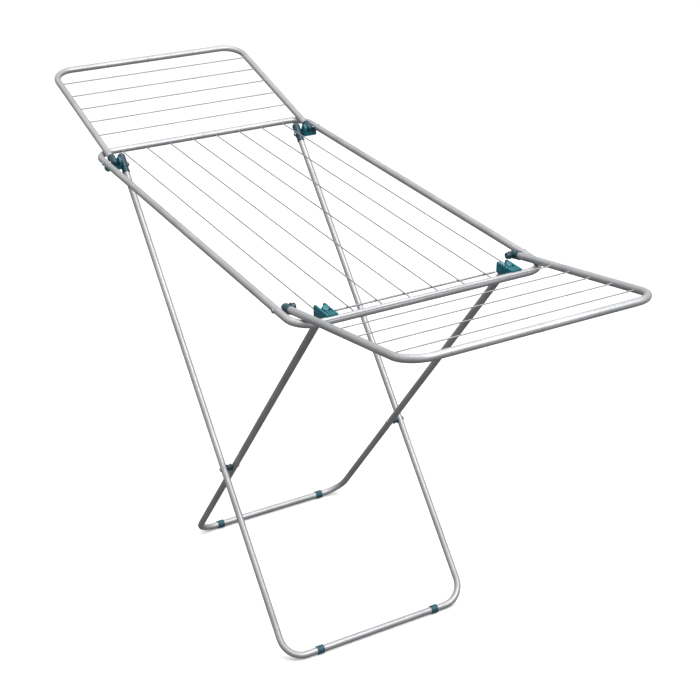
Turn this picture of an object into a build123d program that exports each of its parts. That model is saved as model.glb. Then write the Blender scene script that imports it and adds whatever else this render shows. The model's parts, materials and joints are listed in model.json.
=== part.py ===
from build123d import *
from math import acos, asin, atan2, cos, degrees, hypot, radians, sin, sqrt, tan
import os

# Folding clothes drying rack, opened out for use.
# +X runs along the deck from the hinged rear bar to the hooked front bar.  +Y is to the right
# of someone who faces the front bar, and +Z is up.  The origin is on the floor under the middle
# of the whole rack.  Millimetres.

os.makedirs("parts", exist_ok=True)

# --- Stock ---------------------------------------------------------------------------
tube_d = 15.0            # steel tube, outside
tube_wall = 0.8
wire_d = 2.6             # clothes wires
cross_wire_d = 4.0       # stiffening wire welded under the deck wires
pin_d = 5.0              # wing pins and leg rivets
leg_pin_d = 6.0
seam_gap = 0.4           # visible joint line where two tube ends meet
spigot_len = 60.0

# --- Deck ----------------------------------------------------------------------------
frame_l = 1040.0         # rear bar to front bar, centre to centre
frame_w = 550.0          # side tube to side tube, centre to centre
deck_z = 909.0           # centre line of the deck tube above the floor
frame_bend = 46.0        # bend radius on the centre line
deck_wires = 8
wire_edge = 25.0         # side tube to outermost wire, less the tubes that stand between
cross_wire_inset = 38.0  # front bar to the cross wire
cross_wire_over = 26.0   # how far it runs past the last wire that it is welded to

# --- Wings ---------------------------------------------------------------------------
wing_reach = 353.0       # deck bar to the wing's outer bar, along the arm
wing_bend = 50.0
wing_wires = 5
wing_pitch = 62.0        # wire spacing, counted from the outer bar
wing_gap = 4.3           # side tube to arm
rear_wing_inset = 72.0   # deck bar to wing pin
front_wing_inset = 85.0
stop_gap = 0.05          # arm to the deck corner that it rests on

# --- Legs ----------------------------------------------------------------------------
leg_bend = 50.0
leg_wire_gap = 0.7       # inner leg frame to the outermost deck wire that it passes
leg_gap = 12.0           # between the two leg frames at the crossing
leg_pivot_inset = 65.0   # rear bar to the leg hinge pin
leg_pivot_drop = 14.0    # hinge pin below the deck tube centre line
outer_foot_x = 356.0     # middle of the deck to the outer frame's base bar
inner_foot_x = -193.0    # and to the inner frame's
catch_inset = 36.0       # front bar to the inner leg, at deck level
leg_over = 12.0          # inner leg past deck level, along the tube

# --- Fittings ------------------------------------------------------------------------
cap_wall = 2.0           # moulded end caps on arms and legs
cap_len = 20.0           # pin to the cap's open end
end_past_pin = 4.0       # wing arm's tube end past its pin
leg_past_pin = 24.0      # outer leg's tube end past its pin
run_clear = 0.05         # radial, pin to a tube that turns on it
side_clear = 0.5         # between a moving face and a fixed one
head_h = 2.4
head_r = 5.0
nut_h = 9.6
nut_r = 8.0
plug_h = 5.0             # domed head of the plug in each inner leg top
plug_round = 4.0
boss_r = 9.0             # rear bracket about the leg hinge pin
boss_wall = 3.5          # and under that pin
overcut = 10.0           # how far cutters run past what they cut
foot_wall = 2.5          # foot sleeve, beside the tube
foot_flat = 0.9          # depth of the flat that it stands on
foot_len = 16.0
outer_foot_in = 82.0     # leg tube to the middle of its foot sleeve
inner_foot_in = 64.0
spacer_r = 8.0
cheek = 3.5              # side walls of the front catch
catch_back = 54.0        # front bar to the back of the catch
catch_top = 11.0
catch_low = -13.0

tube_r = tube_d / 2
bore_r = tube_r - tube_wall
cap_r = tube_r + cap_wall
foot_r = tube_r + foot_wall
wire_r = wire_d / 2
side_y = frame_w / 2
arm_y = side_y - tube_d - wing_gap
tubes_beside = tube_r + 2 * tube_d       # half the side tube, the wing arm and the outer leg
wire_y0 = side_y - tubes_beside - wire_edge
wire_step = 2 * wire_y0 / (deck_wires - 1)
inner_y = wire_y0 - wire_r - leg_wire_gap - tube_r
outer_y = inner_y + tube_d + leg_gap
foot_z = foot_r - foot_flat


def rest_tilt(inset):
    """Angle in degrees at which an arm pinned `inset` from its bar lies on the bent corner."""
    reach = tube_d + stop_gap
    tilt = 0.0
    for step in range(181):
        turned = radians(step / 2)
        beside = side_y - frame_bend + frame_bend * sin(turned) - arm_y
        ahead = inset - frame_bend * (1 - cos(turned))
        if abs(beside) < reach and ahead > reach:
            tilt = max(tilt, degrees(asin(sqrt(reach**2 - beside**2) / ahead)))
    if arm_y < side_y - frame_bend:
        tilt = max(tilt, degrees(asin(reach / inset)))
    return tilt


# The steeper wing reaches less far out, so the deck stands off the middle by half of that
rear_tilt = rest_tilt(rear_wing_inset)
front_tilt = rest_tilt(front_wing_inset)
deck_x = wing_reach * (cos(radians(rear_tilt)) - cos(radians(front_tilt))) / 2
rear_x = deck_x - frame_l / 2
front_x = deck_x + frame_l / 2

# Side view: places are (x, z), and each leg has its own plane with local X down or up the
# leg and local Y across the rack.
hinge = (rear_x + leg_pivot_inset, deck_z - leg_pivot_drop)
outer_foot = (deck_x + outer_foot_x, foot_z)
inner_foot = (deck_x + inner_foot_x, foot_z)
catch_point = (front_x - catch_inset, deck_z)


def across_plane(start, end):
    """Plane through a line of the side view: local X from start to end, local Y across."""
    along = Vector(end[0] - start[0], 0, end[1] - start[1]).normalized()
    return Plane(origin=(start[0], 0, start[1]), x_dir=along, z_dir=along.cross(Vector(0, 1, 0)))


outer_plane = across_plane(hinge, outer_foot)
inner_plane = across_plane(inner_foot, catch_point)
outer_len = hypot(outer_foot[0] - hinge[0], outer_foot[1] - hinge[1])
inner_len = hypot(catch_point[0] - inner_foot[0], catch_point[1] - inner_foot[1])
outer_dir = outer_plane.x_dir
inner_dir = inner_plane.x_dir
turn = outer_dir.X * inner_dir.Z - outer_dir.Z * inner_dir.X
gap_x, gap_z = inner_foot[0] - hinge[0], inner_foot[1] - hinge[1]
to_cross = (gap_x * inner_dir.Z - gap_z * inner_dir.X) / turn
crossing = (hinge[0] + to_cross * outer_dir.X, hinge[1] + to_cross * outer_dir.Z)


def save(shape, name):
    shape.label = name
    export_step(shape, f"parts/{name}.step")


def save_pair(right, name):
    """Write the right-hand shape and its mirror image on the left."""
    save(right, f"{name}_right")
    save(mirror(right, about=Plane.XZ), f"{name}_left")


def cross_bar(radius, y0, y1, x, z, mode=Mode.ADD):
    """Round bar along Y from y0 to y1 at (x, z), in the part being built."""
    with Locations((x, (y0 + y1) / 2, z)):
        Cylinder(radius, abs(y1 - y0), rotation=(90, 0, 0), mode=mode)


def bent_tube(plane, points, bend, drill=(), ends=()):
    """Hollow tube along a filleted line in a plane, drilled across at each (x, z, radius).

    It is parted where its bends end, across the plane's local X at each of `ends` and across
    Y beside the widest runs, so that every straight run and every bend is a simple solid.
    """
    beside = max(abs(y) for _, y in points) - bend
    with BuildPart() as tube:
        with BuildLine(plane) as path:
            FilletPolyline(*points, radius=bend)
        with BuildSketch(Plane(origin=path.line @ 0, z_dir=path.line % 0)):
            Circle(tube_r)
            Circle(bore_r, mode=Mode.SUBTRACT)
        sweep()
        for x, z, radius in drill:
            cross_bar(radius, -frame_w, frame_w, x, z, mode=Mode.SUBTRACT)
        for along in ends:
            run_end = Plane(plane.from_local_coords((along, 0, 0)), z_dir=plane.x_dir)
            split(bisect_by=run_end, keep=Keep.BOTH)
        for y in (-beside, beside):
            if min(q for _, q in points) < y < max(q for _, q in points):
                split(bisect_by=Plane.XZ.offset(-y), keep=Keep.BOTH)
    return tube.part


def spigot(x, z):
    """Sleeve pushed into both tube ends at a seam in the middle of a bar."""
    with BuildPart() as sleeve:
        cross_bar(bore_r, -spigot_len / 2, spigot_len / 2, x, z)
        cross_bar(bore_r - tube_wall, -spigot_len / 2, spigot_len / 2, x, z, mode=Mode.SUBTRACT)
    return sleeve.part


def end_cap(plane, y, pin_radius, past):
    """Domed cap over a tube end that stands past the pin at the plane's origin."""
    at_pin = Plane(origin=plane.origin + Vector(0, y, 0), x_dir=(0, 1, 0), z_dir=plane.x_dir)
    crown = at_pin.offset(end_past_pin - past)
    with BuildPart() as cap:
        with BuildSketch(crown):
            Circle(cap_r)
        extrude(amount=cap_len + past - end_past_pin)
        with Locations(crown.origin):
            Sphere(cap_r)
        with BuildSketch(at_pin.offset(-past)):
            Circle(tube_r)
        extrude(amount=cap_len + past, mode=Mode.SUBTRACT)
        cross_bar(pin_radius, y - cap_r - overcut, y + cap_r + overcut, plane.origin.X,
                  plane.origin.Z, mode=Mode.SUBTRACT)
    return cap.part


# --- Deck: one tube bent into a loop, its ends meeting in the middle of the rear bar ---
loop = [
    (rear_x, seam_gap / 2),
    (rear_x, side_y),
    (front_x, side_y),
    (front_x, -side_y),
    (rear_x, -side_y),
    (rear_x, -seam_gap / 2),
]
rear_pin_x = rear_x + rear_wing_inset
front_pin_x = front_x - front_wing_inset
deck_drill = [(x, deck_z, pin_d / 2) for x in (rear_pin_x, front_pin_x)]
bend_ends = (rear_x + frame_bend, front_x - frame_bend)
save(bent_tube(Plane.XY.offset(deck_z), loop, frame_bend, deck_drill, bend_ends), "deck_tube")
save(spigot(rear_x, deck_z), "deck_spigot")

for i in range(deck_wires):
    y = -wire_y0 + i * wire_step
    with BuildPart() as wire:
        with Locations((deck_x, y, deck_z)):
            Cylinder(wire_r, frame_l, rotation=(0, 90, 0))
        cross_bar(tube_r, y - wire_d, y + wire_d, rear_x, deck_z, mode=Mode.SUBTRACT)
        cross_bar(tube_r, y - wire_d, y + wire_d, front_x, deck_z, mode=Mode.SUBTRACT)
    save(wire.part, f"deck_wire_{i + 1}")

cross_wire_y = wire_y0 - wire_step + cross_wire_over
with BuildPart() as cross_wire:
    cross_bar(cross_wire_d / 2, -cross_wire_y, cross_wire_y,
              front_x - cross_wire_inset, deck_z - wire_r - cross_wire_d / 2)
save(cross_wire.part, "deck_cross_wire")

# --- Wings: a U of two halves, five wires, an end cap on each arm ----------------------
for end, pin_x, bar_x, tilt in (("rear", rear_pin_x, rear_x, radians(rear_tilt)),
                                ("front", front_pin_x, front_x, radians(front_tilt))):
    bar_z = deck_z + abs(bar_x - pin_x) * tan(tilt)
    wing = across_plane((pin_x, deck_z), (bar_x, bar_z))
    arm_len = hypot(bar_x - pin_x, bar_z - deck_z) + wing_reach
    half = [(-end_past_pin, arm_y), (arm_len, arm_y), (arm_len, seam_gap / 2)]
    turning = [(pin_x, deck_z, pin_d / 2 + run_clear)]
    save_pair(bent_tube(wing, half, wing_bend, turning, [arm_len - wing_bend]), f"{end}_wing_tube")
    save_pair(end_cap(wing, arm_y, pin_d / 2 + run_clear, end_past_pin), f"{end}_wing_cap")
    bar = wing.from_local_coords((arm_len, 0, 0))
    save(spigot(bar.X, bar.Z), f"{end}_wing_spigot")

    for i in range(wing_wires):
        place = wing.from_local_coords((arm_len - (i + 1) * wing_pitch, 0, 0))
        with BuildPart() as wire:
            cross_bar(wire_r, -arm_y, arm_y, place.X, place.Z)
            for y in (-arm_y, arm_y):
                with BuildSketch(Plane(origin=place + Vector(0, y, 0) - wing.x_dir * wire_d,
                                       z_dir=wing.x_dir)):
                    Circle(tube_r)
                extrude(amount=2 * wire_d, mode=Mode.SUBTRACT)
        save(wire.part, f"{end}_wing_wire_{i + 1}")
    print(end, "wing tilt", degrees(tilt), "arm", arm_len, "first wire", arm_len - wing_wires * wing_pitch)

# --- Outer leg frame: hinged near the rear bar, feet under the front -------------------
outer_points = [
    (-leg_past_pin, -outer_y),
    (outer_len, -outer_y),
    (outer_len, outer_y),
    (-leg_past_pin, outer_y),
]
outer_drill = [(*hinge, leg_pin_d / 2 + run_clear), (*crossing, pin_d / 2)]
outer_ends = [outer_len - leg_bend]
save(bent_tube(outer_plane, outer_points, leg_bend, outer_drill, outer_ends), "outer_leg_tube")
save_pair(end_cap(outer_plane, outer_y, leg_pin_d / 2 + run_clear, leg_past_pin), "outer_leg_cap")

# --- Inner leg frame: two halves, tops held in the catches on the front bar ------------
inner_points = [(inner_len + leg_over, inner_y), (0, inner_y), (0, seam_gap / 2)]
inner_drill = [(*crossing, pin_d / 2 + run_clear)]
save_pair(bent_tube(inner_plane, inner_points, leg_bend, inner_drill, [leg_bend]), "inner_leg_tube")
save(spigot(*inner_foot), "inner_leg_spigot")

leg_top = inner_plane.from_local_coords((inner_len + leg_over, inner_y, 0))
top_plane = Plane(origin=leg_top, x_dir=(0, 1, 0), z_dir=inner_dir)
with BuildPart() as plug:
    with BuildSketch(top_plane):
        Circle(bore_r)
    extrude(amount=-cap_len)
    with BuildSketch(top_plane):
        Circle(tube_r)
    extrude(amount=plug_h)
    dome_edge = plug.edges().filter_by(GeomType.CIRCLE).sort_by(Axis(leg_top, inner_dir))[-1]
    fillet(dome_edge, plug_round)
save_pair(plug.part, "inner_leg_plug")

# Spacer and rivet where the two frames cross
with BuildPart() as spacer:
    cross_bar(spacer_r, inner_y + tube_r + side_clear, outer_y - tube_r, *crossing)
    cross_bar(pin_d / 2, inner_y, outer_y, *crossing, mode=Mode.SUBTRACT)
save_pair(spacer.part, "cross_spacer")

rivet_in = inner_y - tube_r - side_clear
rivet_out = outer_y + tube_r
with BuildPart() as rivet:
    cross_bar(pin_d / 2, rivet_in, rivet_out, *crossing)
    cross_bar(head_r, rivet_in - head_h, rivet_in, *crossing)
    cross_bar(head_r, rivet_out, rivet_out + head_h, *crossing)
save_pair(rivet.part, "cross_rivet")

# Foot sleeves on both base bars
for leg, foot, y in (("outer", outer_foot, outer_y - outer_foot_in),
                     ("inner", inner_foot, inner_y - inner_foot_in)):
    with BuildPart() as sleeve:
        cross_bar(foot_r, y - foot_len / 2, y + foot_len / 2, *foot)
        cross_bar(tube_r, y - foot_len, y + foot_len, *foot, mode=Mode.SUBTRACT)
        split(bisect_by=Plane.XY, keep=Keep.TOP)
    save_pair(sleeve.part, f"{leg}_foot")

# --- Fittings fixed to the deck ---------------------------------------------------------
plate_in = outer_y + cap_r + side_clear
plate_out = arm_y - cap_r - side_clear
bridge_top = deck_z - cap_r - side_clear
bridge_low = hinge[1] - leg_pin_d / 2 - boss_wall
deck_out = side_y + tube_r

# Rear bracket: a plate between wing arm and leg, joined under the arm to a saddle that
# bears on the inner side of the side tube
with BuildPart() as bracket:
    with BuildSketch(Plane.XZ.offset(-plate_in)):
        with Locations((rear_pin_x, deck_z)):
            Circle(cap_r)
        with Locations(hinge):
            Circle(boss_r)
        make_hull()
    extrude(amount=-(plate_out - plate_in))
    with Locations((hinge[0], (plate_in + side_y) / 2, (bridge_top + bridge_low) / 2)):
        Box(2 * boss_r, side_y - plate_in, bridge_top - bridge_low)
    with Locations((hinge[0], side_y - tube_r / 2, (deck_z + bridge_low) / 2)):
        Box(2 * boss_r, tube_r, deck_z - bridge_low)
    with Locations((deck_x, side_y, deck_z)):
        Cylinder(tube_r, frame_l, rotation=(0, 90, 0), mode=Mode.SUBTRACT)
    cross_bar(pin_d / 2, plate_in, deck_out, rear_pin_x, deck_z, mode=Mode.SUBTRACT)
    cross_bar(leg_pin_d / 2, plate_in, arm_y, *hinge, mode=Mode.SUBTRACT)
save_pair(bracket.part, "rear_bracket")

leg_pin_in = outer_y - cap_r - side_clear
with BuildPart() as pin:
    cross_bar(leg_pin_d / 2, leg_pin_in, arm_y, *hinge)
    cross_bar(head_r, leg_pin_in - head_h, leg_pin_in, *hinge)
save_pair(pin.part, "leg_hinge_pin")

nut_in = plate_out - nut_h
for end, pin_x, inside in (("rear", rear_pin_x, plate_in), ("front", front_pin_x, nut_in)):
    with BuildPart() as pin:
        cross_bar(pin_d / 2, inside, deck_out, pin_x, deck_z)
        cross_bar(head_r, deck_out, deck_out + head_h, pin_x, deck_z)
    save_pair(pin.part, f"{end}_wing_pin")

# Moulded cap nut on the inboard end of each front wing pin
with BuildPart() as nut:
    cross_bar(nut_r, nut_in, plate_out, front_pin_x, deck_z)
    cross_bar(pin_d / 2, nut_in, plate_out, front_pin_x, deck_z, mode=Mode.SUBTRACT)
save_pair(nut.part, "front_wing_nut")

# Front catch: two cheeks either side of the inner leg, joined by a wall that leans on the
# front bar.  The leg leaves it upwards and to the rear.
slope = inner_dir.X / inner_dir.Z
rise = catch_top + overcut
wall_x = front_x - catch_inset + (tube_r + side_clear) / inner_dir.Z
cheek_in = inner_y - tube_r - side_clear
cheek_out = inner_y + tube_r + side_clear
with BuildPart() as catch:
    with BuildSketch(Plane.XZ.offset(-(cheek_in - cheek))):
        with BuildLine():
            Polyline(
                (front_x - catch_back, deck_z + catch_low),
                (front_x - catch_back, deck_z + catch_top - cheek),
                (front_x - catch_back + cheek, deck_z + catch_top),
                (front_x, deck_z + catch_top),
                (front_x, deck_z - tube_r),
                (front_x - tube_r - cheek, deck_z + catch_low),
                close=True,
            )
        make_face()
    extrude(amount=-(cheek_out - cheek_in + 2 * cheek))
    with BuildSketch(Plane.XZ.offset(-cheek_in)):
        with BuildLine():
            Polyline(
                (front_x - catch_back - overcut, deck_z + rise),
                (wall_x + rise * slope, deck_z + rise),
                (wall_x - tube_r * slope, deck_z - tube_r),
                (front_x, deck_z - tube_r),
                (front_x, deck_z + catch_low - overcut),
                (front_x - catch_back - overcut, deck_z + catch_low - overcut),
                close=True,
            )
        make_face()
    extrude(amount=-(cheek_out - cheek_in), mode=Mode.SUBTRACT)
    cross_bar(tube_r, cheek_in - cheek - overcut, cheek_out + cheek + overcut, front_x, deck_z,
              mode=Mode.SUBTRACT)
    with Locations((deck_x, wire_y0, deck_z)):
        Cylinder(wire_r, frame_l, rotation=(0, 90, 0), mode=Mode.SUBTRACT)
save_pair(catch.part, "front_catch")

print("hinge", hinge, "crossing", crossing, "to crossing", to_cross, "leg y", inner_y, outer_y)
print("outer leg slope", degrees(atan2(-outer_dir.Z, outer_dir.X)),
      "fold turn", degrees(acos(-inner_dir.dot(outer_dir))))
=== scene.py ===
import bpy
import json
from math import cos, radians, sin
from mathutils import Matrix, Vector


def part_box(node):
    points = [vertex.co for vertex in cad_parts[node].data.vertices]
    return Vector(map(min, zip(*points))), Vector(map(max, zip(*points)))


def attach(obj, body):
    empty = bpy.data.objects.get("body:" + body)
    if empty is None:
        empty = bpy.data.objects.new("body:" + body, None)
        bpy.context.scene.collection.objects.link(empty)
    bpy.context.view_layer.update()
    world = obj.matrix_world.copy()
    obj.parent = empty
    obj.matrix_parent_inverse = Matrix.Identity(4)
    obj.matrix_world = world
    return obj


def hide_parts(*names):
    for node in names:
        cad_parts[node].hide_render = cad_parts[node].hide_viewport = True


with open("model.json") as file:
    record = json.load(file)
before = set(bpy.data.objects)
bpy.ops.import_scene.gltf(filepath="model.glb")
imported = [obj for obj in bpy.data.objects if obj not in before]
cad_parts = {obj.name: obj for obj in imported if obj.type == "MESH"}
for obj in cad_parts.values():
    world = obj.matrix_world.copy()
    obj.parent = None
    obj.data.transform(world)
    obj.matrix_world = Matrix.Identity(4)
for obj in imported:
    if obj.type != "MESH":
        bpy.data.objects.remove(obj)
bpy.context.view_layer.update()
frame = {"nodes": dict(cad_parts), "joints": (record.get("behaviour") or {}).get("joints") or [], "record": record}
nodes = frame["nodes"]
print("frame loaded", len(nodes), "nodes")


# finishes
def srgb(code):
    # sRGB hex to the linear values that the shader wants
    values = [int(code[i:i + 2], 16) / 255 for i in (0, 2, 4)]
    return [v / 12.92 if v <= 0.04045 else ((v + 0.055) / 1.055) ** 2.4 for v in values] + [1]


def addNode(tree, kind, settings=None, inputs=None, links=None):
    # one node with its settings, its input values and the sockets that feed it
    node = tree.nodes.new(kind)
    for name, value in (settings or {}).items():
        setattr(node, name, value)
    for name, value in (inputs or {}).items():
        node.inputs[name].default_value = value
    for name, socket in (links or {}).items():
        tree.links.new(socket, node.inputs[name])
    return node


def perMetre(size):
    # pattern scale for a grain of that many millimetres
    return 1000 / size


def startFinish(name):
    finish = bpy.data.materials.new(name)
    finish.use_nodes = True
    tree = finish.node_tree
    shader = tree.nodes["Principled BSDF"]
    place = addNode(tree, "ShaderNodeTexCoord").outputs["Object"]
    return finish, tree, shader, place


def twoTone(tree, fac, dark, light, low, high):
    ramp = addNode(tree, "ShaderNodeValToRGB", links={"Fac": fac})
    ramp.color_ramp.elements[0].position = low
    ramp.color_ramp.elements[0].color = srgb(dark)
    ramp.color_ramp.elements[1].position = high
    ramp.color_ramp.elements[1].color = srgb(light)
    return ramp.outputs["Color"]


def spread(tree, fac, low, high):
    # a pattern from 0 to 1, spread from low to high
    node = addNode(tree, "ShaderNodeMapRange", inputs={"To Min": low, "To Max": high}, links={"Value": fac})
    return node.outputs["Result"]


def powderCoat(name, look):
    # Silver-grey polyester powder coat, sprayed on and baked: a soft satin skin with a faint
    # orange peel, tiny aluminium flakes and slow changes of shade along the tube.
    finish, tree, shader, place = startFinish(name)
    shade = addNode(tree, "ShaderNodeTexNoise", inputs={"Scale": perMetre(look["shadeSize"]), "Detail": 3},
                    links={"Vector": place}).outputs["Fac"]
    flake = addNode(tree, "ShaderNodeTexVoronoi", inputs={"Scale": perMetre(look["flakeSize"])},
                    links={"Vector": place})
    peel = addNode(tree, "ShaderNodeTexNoise", inputs={"Scale": perMetre(look["peelSize"]), "Detail": 2},
                   links={"Vector": place}).outputs["Fac"]
    base = twoTone(tree, shade, look["dark"], look["light"], 0.35, 0.65)
    spark = twoTone(tree, flake.outputs["Color"], look["flakeDark"], look["flakeLight"], 0.1, 0.9)
    mixed = addNode(tree, "ShaderNodeMix", {"data_type": "RGBA", "blend_type": "MULTIPLY"},
                    {"Factor": look["flakeShow"]}, {"A": base, "B": spark}).outputs["Result"]
    tree.links.new(mixed, shader.inputs["Base Color"])
    satin = spread(tree, peel, look["rough"] - look["roughSpan"], look["rough"] + look["roughSpan"])
    tree.links.new(satin, shader.inputs["Roughness"])
    bump = addNode(tree, "ShaderNodeBump",
                   inputs={"Strength": look["peelShow"], "Distance": look["peelDeep"]},
                   links={"Height": peel})
    tree.links.new(bump.outputs["Normal"], shader.inputs["Normal"])
    shader.inputs["Metallic"].default_value = look["metal"]
    shader.inputs["Coat Weight"].default_value = look["coat"]
    shader.inputs["Coat Roughness"].default_value = look["coatRough"]
    return finish


def mouldedPlastic(name, look):
    # Injection-moulded polypropylene: even colour with faint flow clouds, a fine spark-eroded
    # grain from the mould and a few pale scuffs.
    finish, tree, shader, place = startFinish(name)
    flow = addNode(tree, "ShaderNodeTexNoise",
                   inputs={"Scale": perMetre(look["flowSize"]), "Detail": 2, "Distortion": look["flowSwirl"]},
                   links={"Vector": place}).outputs["Fac"]
    grain = addNode(tree, "ShaderNodeTexNoise", inputs={"Scale": perMetre(look["grainSize"]), "Detail": 1},
                    links={"Vector": place}).outputs["Fac"]
    stretch = addNode(tree, "ShaderNodeMapping", inputs={"Rotation": (0.4, 0.7, 0.2), "Scale": (1, 9, 1)},
                      links={"Vector": place}).outputs["Vector"]       # scuffs are thin and run aslant
    scuff = addNode(tree, "ShaderNodeTexNoise", inputs={"Scale": perMetre(look["scuffSize"]), "Detail": 4},
                    links={"Vector": stretch}).outputs["Fac"]
    base = twoTone(tree, flow, look["dark"], look["light"], 0.3, 0.7)
    marks = spread(tree, twoTone(tree, scuff, "000000", "FFFFFF", 0.62, 0.72), 0, look["scuffShow"])
    worn = addNode(tree, "ShaderNodeMix", {"data_type": "RGBA"}, {"B": srgb(look["scuff"])},
                   {"Factor": marks, "A": base}).outputs["Result"]
    tree.links.new(worn, shader.inputs["Base Color"])
    satin = spread(tree, grain, look["rough"] - 0.05, look["rough"] + 0.07)
    tree.links.new(satin, shader.inputs["Roughness"])
    bump = addNode(tree, "ShaderNodeBump", inputs={"Strength": look["grainShow"], "Distance": 0.0002},
                   links={"Height": grain})
    tree.links.new(bump.outputs["Normal"], shader.inputs["Normal"])
    shader.inputs["IOR"].default_value = 1.49
    return finish


def zincPlate(name, look):
    # Bright zinc on turned steel: crystalline grey patches and fine lines from the turning.
    finish, tree, shader, place = startFinish(name)
    patch = addNode(tree, "ShaderNodeTexVoronoi", inputs={"Scale": perMetre(look["patchSize"])},
                    links={"Vector": place})
    lines = addNode(tree, "ShaderNodeTexNoise", inputs={"Scale": perMetre(look["lineSize"]), "Detail": 2},
                    links={"Vector": place}).outputs["Fac"]
    tree.links.new(twoTone(tree, patch.outputs["Color"], look["dark"], look["light"], 0.1, 0.9),
                   shader.inputs["Base Color"])
    sheen = spread(tree, lines, look["rough"] - 0.08, look["rough"] + 0.1)
    tree.links.new(sheen, shader.inputs["Roughness"])
    bump = addNode(tree, "ShaderNodeBump", inputs={"Strength": look["lineShow"], "Distance": 0.0001},
                   links={"Height": lines})
    tree.links.new(bump.outputs["Normal"], shader.inputs["Normal"])
    shader.inputs["Metallic"].default_value = 1.0
    return finish


# colours are sRGB hex, pattern sizes are in millimetres
tubeLook = {"dark": "A8A9AB", "light": "B8B9BB", "shadeSize": 90,
            "flakeDark": "B0B0B2", "flakeLight": "FFFFFF", "flakeShow": 0.6, "flakeSize": 0.9,
            "peelSize": 2.2, "peelShow": 0.35, "peelDeep": 0.0004, "rough": 0.42, "roughSpan": 0.06,
            "metal": 0.55, "coat": 0.12, "coatRough": 0.3}
wireLook = {"dark": "7E8082", "light": "929496", "shadeSize": 40,
            "flakeDark": "C0C0C2", "flakeLight": "FFFFFF", "flakeShow": 0.4, "flakeSize": 0.6,
            "peelSize": 1.2, "peelShow": 0.25, "peelDeep": 0.0004, "rough": 0.5, "roughSpan": 0.06,
            "metal": 0.3, "coat": 0.12, "coatRough": 0.3}
tealLook = {"dark": "04505C", "light": "0A6874", "flowSize": 18, "flowSwirl": 1.2, "grainSize": 0.5,
            "grainShow": 0.3, "scuff": "3F8C94", "scuffSize": 9, "scuffShow": 0.3, "rough": 0.34}
capLook = {"dark": "0A2C38", "light": "103C4A", "flowSize": 14, "flowSwirl": 1.2, "grainSize": 0.5,
           "grainShow": 0.3, "scuff": "4F7C84", "scuffSize": 8, "scuffShow": 0.3, "rough": 0.36}
footLook = {"dark": "0B3A46", "light": "125262", "flowSize": 12, "flowSwirl": 1.2, "grainSize": 0.7,
            "grainShow": 0.45, "scuff": "6E8F94", "scuffSize": 6, "scuffShow": 0.5, "rough": 0.5}
zincLook = {"dark": "8E9092", "light": "B4B6B8", "patchSize": 1.6, "lineSize": 0.5, "lineShow": 0.2,
            "rough": 0.34}

finishes = {
    "coated_tube": powderCoat("powderCoatedTube", tubeLook),
    "coated_wire": powderCoat("powderCoatedWire", wireLook),
    "teal_plastic": mouldedPlastic("mouldedTealPolypropylene", tealLook),
    "dark_plastic": mouldedPlastic("mouldedDarkPolypropylene", capLook),
    "foot_plastic": mouldedPlastic("mouldedFootPolypropylene", footLook),
    "rivet_steel": zincPlate("zincPlatedRivet", zincLook),
    "zinc_steel": zincPlate("zincPlatedSleeve", zincLook),
}
slotOf = {part["node"]: part["material_slot"] for part in frame["record"]["subparts"]}
for name, node in nodes.items():
    node.data.materials.clear()
    node.data.materials.append(finishes[slotOf[name]])
print("finishes on the frame")


# places, all read from the frame
joints = {joint["name"]: joint for joint in frame["joints"]}


def middle(node):
    low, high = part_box(node)
    return (low + high) / 2


def pivot(joint):
    return Vector(joints[joint]["pos_m"])


deckLow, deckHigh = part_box("deck_tube")
tubeR = (deckHigh.z - deckLow.z) / 2
deckZ = middle("deck_tube").z
rearX, frontX = deckLow.x + tubeR, deckHigh.x - tubeR
outerLow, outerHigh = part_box("outer_leg_tube")
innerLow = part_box("inner_leg_tube_left")[0]
outerFoot = Vector((outerHigh.x - tubeR, 0, outerLow.z + tubeR))
innerFoot = Vector((innerLow.x + tubeR, 0, innerLow.z + tubeR))
outerDown = (outerFoot - pivot("deck_fold")).normalized()
innerUp = (pivot("leg_scissor") - innerFoot).normalized()
across = Vector((0, 1, 0))
upright = Vector((0, 0, 1))


def outAlong(end):
    # the way a wing's arms run, from their pins outward
    return (middle(f"{end}_wing_wire_1") - pivot(f"{end}_wing_fold")).normalized()


def sideOf(node):
    # a node's centre, and how far from the middle of the rack it starts and ends
    low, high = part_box(node)
    inner, outer = sorted((abs(low.y), abs(high.y)))
    return (low + high) / 2, inner, outer


# modelling helpers
def deselectAll():
    if bpy.context.mode != "OBJECT":
        bpy.ops.object.mode_set(mode="OBJECT")
    bpy.ops.object.select_all(action="DESELECT")


def choose(piece):
    deselectAll()
    piece.select_set(True)
    bpy.context.view_layer.objects.active = piece


def turned(name, profile, sides=40):
    # a turned shape about Z: a circle, extruded and scaled along the profile's (radius, height)
    deselectAll()
    bpy.ops.mesh.primitive_circle_add(vertices=sides, radius=profile[0][0], location=(0, 0, profile[0][1]))
    piece = bpy.context.object
    piece.name = name
    bpy.ops.object.transform_apply(location=True)
    bpy.ops.object.mode_set(mode="EDIT")
    bpy.ops.mesh.select_all(action="SELECT")
    for (r0, z0), (r1, z1) in zip(profile, profile[1:]):
        bpy.ops.mesh.extrude_region_move(TRANSFORM_OT_translate={"value": (0, 0, z1 - z0)})
        bpy.ops.transform.resize(value=(r1 / r0, r1 / r0, 1), center_override=(0, 0, z1))
    bpy.ops.mesh.edge_face_add()
    bpy.ops.mesh.select_all(action="DESELECT")
    bpy.ops.mesh.select_non_manifold()
    bpy.ops.mesh.edge_face_add()
    bpy.ops.mesh.select_all(action="SELECT")
    bpy.ops.mesh.normals_make_consistent(inside=False)
    bpy.ops.object.mode_set(mode="OBJECT")
    return piece


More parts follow.
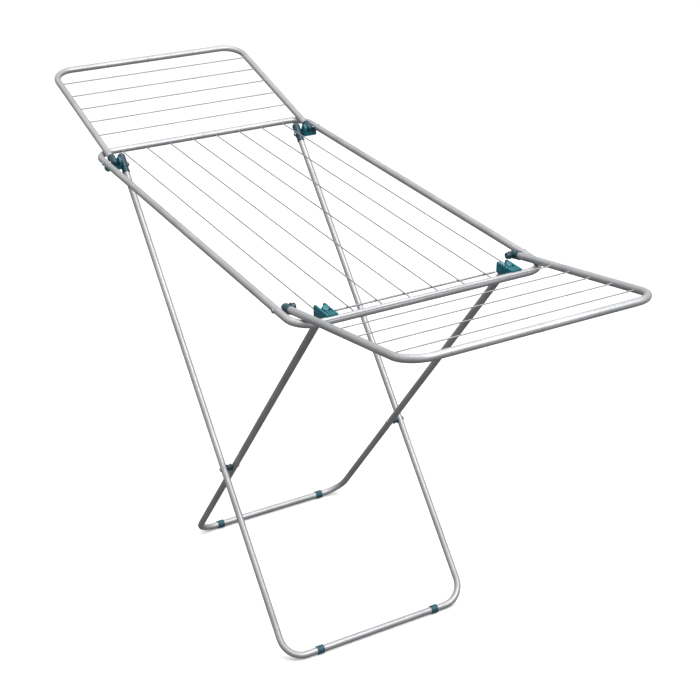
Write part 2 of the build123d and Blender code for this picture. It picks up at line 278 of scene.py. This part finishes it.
def arc(radius, height, size, start, end, steps):
    # points on a quarter or part circle, for a rounded rim or a dome
    turns = [radians(start + (end - start) * i / steps) for i in range(steps + 1)]
    return [(max(radius + size * cos(t), 0.00002), height + size * sin(t)) for t in turns]


def aim(piece, point, direction, upward=None):
    # put a shape made about Z at a point, with Z along the direction, and apply it to the mesh
    z = Vector(direction).normalized()
    side = Vector(upward or across)
    x = side.cross(z).normalized()
    y = z.cross(x)
    matrix = Matrix((x, y, z)).transposed().to_4x4()
    matrix.translation = point
    choose(piece)
    piece.matrix_world = matrix
    bpy.ops.object.transform_apply(location=True, rotation=True, scale=True)
    return piece


def soften(piece, width, segments=2, limit=30):
    choose(piece)
    bevel = piece.modifiers.new("edges", "BEVEL")
    bevel.width = width
    bevel.segments = segments
    bevel.limit_method = "ANGLE"
    bevel.angle_limit = radians(limit)
    bevel.use_clamp_overlap = True
    bpy.ops.object.modifier_apply(modifier=bevel.name)


def cut(piece, cutter, operation="DIFFERENCE"):
    choose(piece)
    tool = piece.modifiers.new("cut", "BOOLEAN")
    tool.operation = operation
    tool.solver = "EXACT"
    tool.object = cutter
    bpy.ops.object.modifier_apply(modifier=tool.name)
    bpy.data.objects.remove(cutter)


def finishPiece(piece, body, slot, replaced=(), smooth=35):
    choose(piece)
    bpy.ops.object.shade_smooth_by_angle(angle=radians(smooth))
    piece.data.materials.clear()
    piece.data.materials.append(finishes[slot])
    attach(piece, body)
    if replaced:
        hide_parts(*replaced)
    return piece


def copyOf(piece, name):
    # each copy gets its own mesh
    copy = piece.copy()
    copy.data = piece.data.copy()
    copy.name = name
    bpy.context.scene.collection.objects.link(copy)
    return copy


def mirrored(piece, name):
    copy = copyOf(piece, name)
    choose(copy)
    copy.scale = (1, -1, 1)
    bpy.ops.object.transform_apply(scale=True)
    bpy.ops.object.mode_set(mode="EDIT")
    bpy.ops.mesh.select_all(action="SELECT")
    bpy.ops.mesh.normals_make_consistent(inside=False)
    bpy.ops.object.mode_set(mode="OBJECT")
    return copy


def copyOfNode(node, name):
    # a working copy of a frame piece: its loose triangles are merged into clean faces
    piece = copyOf(nodes[node], name)
    for key in list(piece.keys()):
        del piece[key]
    piece.parent = None
    choose(piece)
    bpy.ops.object.mode_set(mode="EDIT")
    bpy.ops.mesh.select_all(action="SELECT")
    bpy.ops.mesh.remove_doubles(threshold=0.00001)
    bpy.ops.mesh.dissolve_limited(angle_limit=radians(1))
    bpy.ops.object.mode_set(mode="OBJECT")
    return piece


def block(name, low, high):
    deselectAll()
    low, high = Vector(low), Vector(high)
    bpy.ops.mesh.primitive_cube_add(size=1, location=(low + high) / 2, scale=high - low)
    piece = bpy.context.object
    piece.name = name
    bpy.ops.object.transform_apply(location=True, rotation=True, scale=True)
    return piece


# end caps on the wing arms and on the outer leg frame
cap = {"outer": tubeR + 0.002, "bore": tubeR, "length": 0.020, "end": 0.004, "armPast": 0.004,
       "legPast": 0.024, "lip": 0.0009, "lipWide": 0.0022, "round": 0.0006, "step": 0.0075,
       "fall": 0.0007, "fit": 0.0002}


def endCap(name, past):
    # a dome over the tube end, a smooth barrel, a small step and a rolled lip at the mouth
    crown = cap["end"] - past
    rim = cap["length"] - cap["round"]
    mouth = cap["outer"] - cap["fit"]
    neck = mouth - cap["lip"]
    lipStart = cap["length"] - cap["lipWide"]
    profile = [(cap["bore"], 2 * cap["fit"] - past), (cap["bore"], rim)]
    profile += arc(cap["bore"] + cap["round"], rim, cap["round"], 150, 30, 4)
    profile += arc(mouth - cap["round"], rim, cap["round"], 60, 0, 2)
    profile += [(mouth, lipStart), (neck, lipStart - 0.0005), (neck, cap["step"])]
    profile += [(mouth, cap["step"] - cap["fall"]), (mouth, crown + cap["fit"])]
    profile += arc(0, crown, mouth, 0, -88, 14)
    return turned(name, profile)


capPlaces = [("rear_wing", "rear_wing_cap", pivot("rear_wing_fold"), outAlong("rear"), cap["armPast"]),
             ("front_wing", "front_wing_cap", pivot("front_wing_fold"), outAlong("front"), cap["armPast"]),
             ("outer_leg", "outer_leg_cap", pivot("deck_fold"), outerDown, cap["legPast"])]
for body, cadName, point, direction, past in capPlaces:
    capMaster = endCap("capMaster", past)
    for side in ("left", "right"):
        piece = copyOf(capMaster, f"{cadName}_{side}_shell")
        aim(piece, Vector((point.x, middle(f"{cadName}_{side}").y, point.z)), direction)
        finishPiece(piece, body, "dark_plastic", [f"{cadName}_{side}"])
    bpy.data.objects.remove(capMaster)
print("end caps")


# pins, rivets, nuts, spacers and plugs, all turned about Y
pin = {"wingR": 0.0025, "legR": 0.003, "headR": 0.005, "high": 0.0024, "round": 0.0020, "dimple": 0.0012,
       "edge": 0.0002}


def setHead(at):
    # a low domed head that starts at that height, dimpled where it was set
    profile = [(pin["headR"] - pin["edge"], at), (pin["headR"], at + 0.0003)]
    profile += arc(pin["headR"] - 0.0021, at + 0.0004, pin["round"], 0, 80, 6)
    profile += [(pin["dimple"], at + pin["high"] - 0.0001), (pin["dimple"] * 0.5, at + pin["high"] - 0.0007)]
    return profile


def wingAndLegPins(cadName, shankR, headOut):
    for side, sign in (("left", -1), ("right", 1)):
        centre, inner, outer = sideOf(f"{cadName}_{side}")
        length = outer - inner - pin["high"]
        piece = turned(f"{cadName}_{side}_turned", [(shankR, 0), (shankR, length)] + setHead(length))
        start, way = (inner, sign) if headOut else (outer, -sign)
        aim(piece, Vector((centre.x, sign * start, centre.z)), way * across, upright)
        finishPiece(piece, "deck", "rivet_steel", [f"{cadName}_{side}"])


wingAndLegPins("rear_wing_pin", pin["wingR"], True)
wingAndLegPins("front_wing_pin", pin["wingR"], True)
wingAndLegPins("leg_hinge_pin", pin["legR"], False)

nut = {"outer": 0.008, "round": 0.0022, "flange": 0.0018, "step": 0.0012, "edge": 0.0003}
for side, sign in (("left", -1), ("right", 1)):
    centre, inner, outer = sideOf(f"front_wing_nut_{side}")
    length = outer - inner
    barrel = nut["outer"] - nut["step"]
    profile = [(nut["outer"] - nut["edge"], 0), (nut["outer"], nut["edge"]), (nut["outer"], nut["flange"]),
               (barrel, nut["flange"] + 0.0005)]
    profile += arc(barrel - nut["round"], length - nut["round"], nut["round"], 0, 85, 6)
    piece = turned(f"front_wing_nut_{side}_cap", profile)
    aim(piece, Vector((centre.x, sign * outer, centre.z)), -sign * across, upright)
    finishPiece(piece, "deck", "dark_plastic", [f"front_wing_nut_{side}"])

spacer = {"waist": 0.0068, "rim": 0.008, "rimWide": 0.002, "bore": 0.0025, "edge": 0.0004, "fall": 0.0006}


def spacerProfile(length):
    # a bush with a narrow waist between two rims
    r, w, e = spacer["rim"], spacer["waist"], spacer["edge"]
    b = spacer["rimWide"]
    half = [(spacer["bore"], 0), (r - e, 0), (r, e), (r, b - e), (r - e, b), (w, b + spacer["fall"])]
    return half + [(radius, length - height) for radius, height in reversed(half)]


for side, sign in (("left", -1), ("right", 1)):
    centre, inner, outer = sideOf(f"cross_spacer_{side}")
    piece = turned(f"cross_spacer_{side}_bush", spacerProfile(outer - inner))
    aim(piece, Vector((centre.x, sign * inner, centre.z)), sign * across, upright)
    finishPiece(piece, "outer_leg", "dark_plastic", [f"cross_spacer_{side}"])
    centre, inner, outer = sideOf(f"cross_rivet_{side}")
    headAt = 0.0021
    farHead = outer - inner - headAt
    profile = arc(pin["headR"] - headAt, headAt, headAt, 280, 360, 5)
    profile += [(pin["headR"], pin["high"] - pin["edge"]), (pin["wingR"], pin["high"])]
    profile += [(pin["wingR"], outer - inner - pin["high"]), (pin["headR"] - pin["edge"], farHead - 0.0003)]
    profile += arc(pin["headR"] - headAt, farHead, headAt, 0, 80, 5)
    piece = turned(f"cross_rivet_{side}_turned", profile)
    aim(piece, Vector((centre.x, sign * inner, centre.z)), sign * across, upright)
    finishPiece(piece, "outer_leg", "rivet_steel", [f"cross_rivet_{side}"])
print("pins, nuts, spacers and rivets")


plug = {"head": 0.0075, "high": 0.005, "round": 0.0042, "bore": 0.0066, "lead": 0.0008, "leadLong": 0.003,
        "depth": 0.020, "dimple": 0.0012}
plugProfile = [(plug["bore"] - plug["lead"], -plug["depth"]),
               (plug["bore"], plug["leadLong"] - plug["depth"]), (plug["bore"], 0), (plug["head"], 0.00005)]
plugProfile += arc(plug["head"] - plug["round"], plug["high"] - plug["round"], plug["round"], 0, 85, 8)
plugProfile += [(plug["dimple"], plug["high"]), (plug["dimple"] * 0.6, plug["high"] - 0.0006)]
for side in ("left", "right"):
    # the head sits on the tube's end
    reach = (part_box(f"inner_leg_tube_{side}")[1].z - innerFoot.z - tubeR * innerUp.x) / innerUp.z
    piece = turned(f"inner_leg_plug_{side}_head", plugProfile)
    aim(piece, innerFoot + innerUp * reach + Vector((0, middle(f"inner_leg_plug_{side}").y, 0)), innerUp)
    finishPiece(piece, "inner_leg", "teal_plastic", [f"inner_leg_plug_{side}"])
print("leg plugs")


# foot sleeves: a ring with a flat sole, three ribs and chamfered ends
sleeve = {"outer": 0.010, "bore": 0.0075, "rib": 0.0005, "ribWide": 0.0016, "edge": 0.0006, "fall": 0.0004}


def footSleeve(name, node):
    low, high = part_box(node)
    length = high.y - low.y
    r, b, w = sleeve["outer"], sleeve["bore"], sleeve["ribWide"]
    e, f = sleeve["edge"], sleeve["fall"]
    groove = r - sleeve["rib"] - 0.0003
    profile = [(b, f), (b + 0.0005, 0), (r - e, 0), (r, e), (r, w), (groove, w + f),
               (groove, length / 2 - w * 0.6), (r, length / 2 - w * 0.4), (r, length / 2 + w * 0.4),
               (groove, length / 2 + w * 0.6), (groove, length - w - f), (r, length - w), (r, length - e),
               (r - e, length), (b + 0.0005, length), (b, length - f)]
    piece = turned(name, profile, sides=48)
    aim(piece, Vector(((low.x + high.x) / 2, low.y, high.z - r)), across, upright)
    # the sole is made flat by cutting at the floor
    bpy.ops.object.mode_set(mode="EDIT")
    bpy.ops.mesh.select_all(action="SELECT")
    bpy.ops.mesh.bisect(plane_co=(0, 0, low.z), plane_no=(0, 0, -1), clear_outer=True, use_fill=True)
    bpy.ops.object.mode_set(mode="OBJECT")
    return piece


for leg in ("outer", "inner"):
    for side in ("left", "right"):
        piece = footSleeve(f"{leg}_foot_{side}_sleeve", f"{leg}_foot_{side}")
        finishPiece(piece, f"{leg}_leg", "foot_plastic", [f"{leg}_foot_{side}"])
print("feet")


# front catches: ribbed hooks behind the front bar
catch = {"ribs": 4, "groove": 0.0022, "deep": 0.0016, "edge": 0.0009, "slots": 4, "pitch": 0.0085,
         "slot": 0.0034, "firstSlot": 0.013, "raised": 0.003, "lean": 38, "past": 0.002, "pastSide": 0.004,
         "halfSlot": 0.020}


def frontCatch(name):
    piece = copyOfNode("front_catch_right", name)
    low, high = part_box("front_catch_right")
    # grooves across the top, between its ribs
    step = (high.y - low.y) / catch["ribs"]
    for i in range(1, catch["ribs"]):
        y = low.y + i * step
        groove = block("groove", (low.x - catch["past"], y - catch["groove"] / 2, high.z - catch["deep"]),
                       (high.x + catch["past"], y + catch["groove"] / 2, high.z + catch["past"]))
        cut(piece, groove)
    # slots down the cheek that faces the middle of the rack, leaning back toward the rear
    half, reach = catch["slot"] / 2, catch["halfSlot"]
    for i in range(catch["slots"]):
        slot = block("slot", (-half, -catch["pastSide"], -reach), (half, catch["deep"], reach))
        choose(slot)
        slot.rotation_euler = (0, radians(-catch["lean"]), 0)
        slot.location = (high.x - catch["firstSlot"] - i * catch["pitch"], low.y,
                         (low.z + high.z) / 2 + catch["raised"])
        bpy.ops.object.transform_apply(location=True, rotation=True, scale=True)
        cut(piece, slot)
    soften(piece, catch["edge"], 2)
    return piece


rightCatch = frontCatch("front_catch_right_hook")
leftCatch = mirrored(rightCatch, "front_catch_left_hook")
finishPiece(rightCatch, "deck", "teal_plastic", ["front_catch_right"])
finishPiece(leftCatch, "deck", "teal_plastic", ["front_catch_left"])
print("catches")


# rear brackets: a saddle on the side tube with bosses for the two pins
bracket = {"edge": 0.0009}

rightBracket = copyOfNode("rear_bracket_right", "rear_bracket_right_saddle")
soften(rightBracket, bracket["edge"], 2)
leftBracket = mirrored(rightBracket, "rear_bracket_left_saddle")
finishPiece(rightBracket, "deck", "teal_plastic", ["rear_bracket_right"])
finishPiece(leftBracket, "deck", "teal_plastic", ["rear_bracket_left"])
print("brackets")


# weld beads where the wires meet the tubes
bead = {"radius": 0.0024, "high": 0.0016, "foot": 0.0012, "sides": 14, "sunk": 0.0001}


def weldBead(name):
    # a low slumped collar round the wire's end
    r, h = bead["radius"], bead["high"]
    profile = [(r, -bead["foot"]), (r * 0.98, 0), (r * 0.86, h * 0.4), (r * 0.66, h * 0.75), (r * 0.5, h),
               (r * 0.3, h)]
    return turned(name, profile, sides=bead["sides"])


def joinAll(parts, name):
    choose(parts[0])
    for part in parts[1:]:
        part.select_set(True)
    bpy.ops.object.join()
    parts[0].name = name
    return parts[0]


beadMaster = weldBead("beadMaster")


def addBeads(name, body, places):
    parts = []
    for point, direction in places:
        part = copyOf(beadMaster, "bead")
        aim(part, point, direction, (0.1, 0.2, 1))
        parts.append(part)
    finishPiece(joinAll(parts, name), body, "coated_wire", smooth=60)


deckWires = sorted(name for name in nodes if name.startswith("deck_wire_"))
deckBeads = []
for wire in deckWires:
    y = middle(wire).y
    deckBeads.append((Vector((rearX + tubeR - bead["sunk"], y, deckZ)), (1, 0, 0)))
    deckBeads.append((Vector((frontX - tubeR + bead["sunk"], y, deckZ)), (-1, 0, 0)))
addBeads("deck_weld_beads", "deck", deckBeads)
for end in ("rear", "front"):
    places = []
    for wire in sorted(name for name in nodes if name.startswith(f"{end}_wing_wire_")):
        centre, reach = middle(wire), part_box(wire)[1].y - bead["sunk"]
        for sign in (-1, 1):
            places.append((Vector((centre.x, sign * reach, centre.z)), -sign * across))
    addBeads(f"{end}_wing_weld_beads", f"{end}_wing", places)
bpy.data.objects.remove(beadMaster)
print("weld beads")


# swage marks where the tube ends meet
swage = {"wide": 0.0030, "proud": 0.00025, "sunk": 0.0002, "edge": 0.0006, "ramp": 0.0001, "apart": 0.0003,
         "sides": 36}


def swageRing(name, body, point):
    # a shallow rolled band on each side of the seam
    top, base, w = tubeR + swage["proud"], tubeR - swage["sunk"], swage["wide"]
    profile = [(base, 0), (top - swage["ramp"], 0.0002), (top, swage["edge"]), (top, w - swage["edge"]),
               (top - swage["ramp"], w - 0.0002), (base, w)]
    parts = []
    for sign in (-1, 1):
        part = turned("band", profile, sides=swage["sides"])
        aim(part, point + sign * swage["apart"] * across, sign * across, upright)
        parts.append(part)
    finishPiece(joinAll(parts, name), body, "coated_tube")


for body in ("deck", "rear_wing", "front_wing", "inner_leg"):
    swageRing(f"{body}_seam_band", body, middle(f"{body}_spigot"))
print("seams")


# studio
studio = {"floorDark": "F1F1F0", "floorLight": "F5F5F4", "floorSize": 30, "floorRough": 0.9,
          "zenith": 1.3, "horizon": 0.55, "below": 0.2, "dusk": (-0.25, 0.05),
          "overhead": 60, "key": 75,
          "cameraAt": (2.5485, -1.3039, 2.0596), "turn": 150.755, "tip": -27.697, "roll": -0.237,
          "lens": 73.1}
bpy.context.scene.view_settings.view_transform = "Standard"

deselectAll()
bpy.ops.mesh.primitive_plane_add(size=studio["floorSize"], location=(0, 0, 0))
floor = bpy.context.object
floor.name = "studio_floor"
floorFinish, tree, shader, place = startFinish("paleFloor")
tone = addNode(tree, "ShaderNodeTexNoise", inputs={"Scale": 1.5, "Detail": 2}, links={"Vector": place})
tree.links.new(twoTone(tree, tone.outputs["Fac"], studio["floorDark"], studio["floorLight"], 0.3, 0.7),
               shader.inputs["Base Color"])
shader.inputs["Roughness"].default_value = studio["floorRough"]
floor.data.materials.append(floorFinish)
floor.visible_diffuse = False       # the floor throws no light back up, so undersides stay dark
floor.visible_glossy = False

# a soft dome of light: bright overhead, darker toward the horizon
world = bpy.data.worlds.new("studioLight")
bpy.context.scene.world = world
world.use_nodes = True
sky = world.node_tree
upward = addNode(sky, "ShaderNodeSeparateXYZ",
                 links={"Vector": addNode(sky, "ShaderNodeTexCoord").outputs["Generated"]}).outputs["Z"]
glow = addNode(sky, "ShaderNodeMapRange", {"interpolation_type": "SMOOTHSTEP"},
               {"To Min": studio["horizon"], "To Max": studio["zenith"]}, {"Value": upward}).outputs["Result"]
under = addNode(sky, "ShaderNodeMapRange", {"interpolation_type": "SMOOTHSTEP"},
                {"From Min": studio["dusk"][0], "From Max": studio["dusk"][1],
                 "To Min": studio["below"], "To Max": studio["horizon"]},
                {"Value": upward}).outputs["Result"]
lower = addNode(sky, "ShaderNodeMath", {"operation": "MINIMUM"}, links={0: glow, 1: under}).outputs[0]
above = addNode(sky, "ShaderNodeMath", {"operation": "GREATER_THAN"}, {1: studio["dusk"][1]},
                {0: upward}).outputs[0]
both = addNode(sky, "ShaderNodeMix", {"data_type": "FLOAT"},
               links={"Factor": above, "A": lower, "B": glow}).outputs["Result"]
sky.links.new(both, sky.nodes["Background"].inputs["Strength"])
sky.nodes["Background"].inputs["Color"].default_value = srgb("FFFFFF")


def softBox(name, size, power, at, toward):
    deselectAll()
    bpy.ops.object.light_add(type="AREA", location=at)
    light = bpy.context.object
    light.name = name
    light.data.size = size
    light.data.energy = power
    light.rotation_euler = (Vector(toward) - Vector(at)).to_track_quat("-Z", "Y").to_euler()


softBox("overhead", 3.0, studio["overhead"], (0.2, 0.3, 3.6), (0, 0, 0.6))
softBox("key", 1.8, studio["key"], (2.3, 0.9, 3.3), (0, 0, 0.7))

deselectAll()
bpy.ops.object.camera_add(location=studio["cameraAt"])
camera = bpy.context.object
turn, tip = radians(studio["turn"]), radians(studio["tip"])
forward = Vector((cos(tip) * cos(turn), cos(tip) * sin(turn), sin(tip)))
level = Matrix.Rotation(radians(studio["roll"]), 3, forward)
camera.rotation_euler = (level @ forward.to_track_quat("-Z", "Y").to_matrix()).to_euler()
camera.data.lens = studio["lens"]
camera.data.sensor_width = 36
bpy.context.scene.camera = camera
print("studio ready")
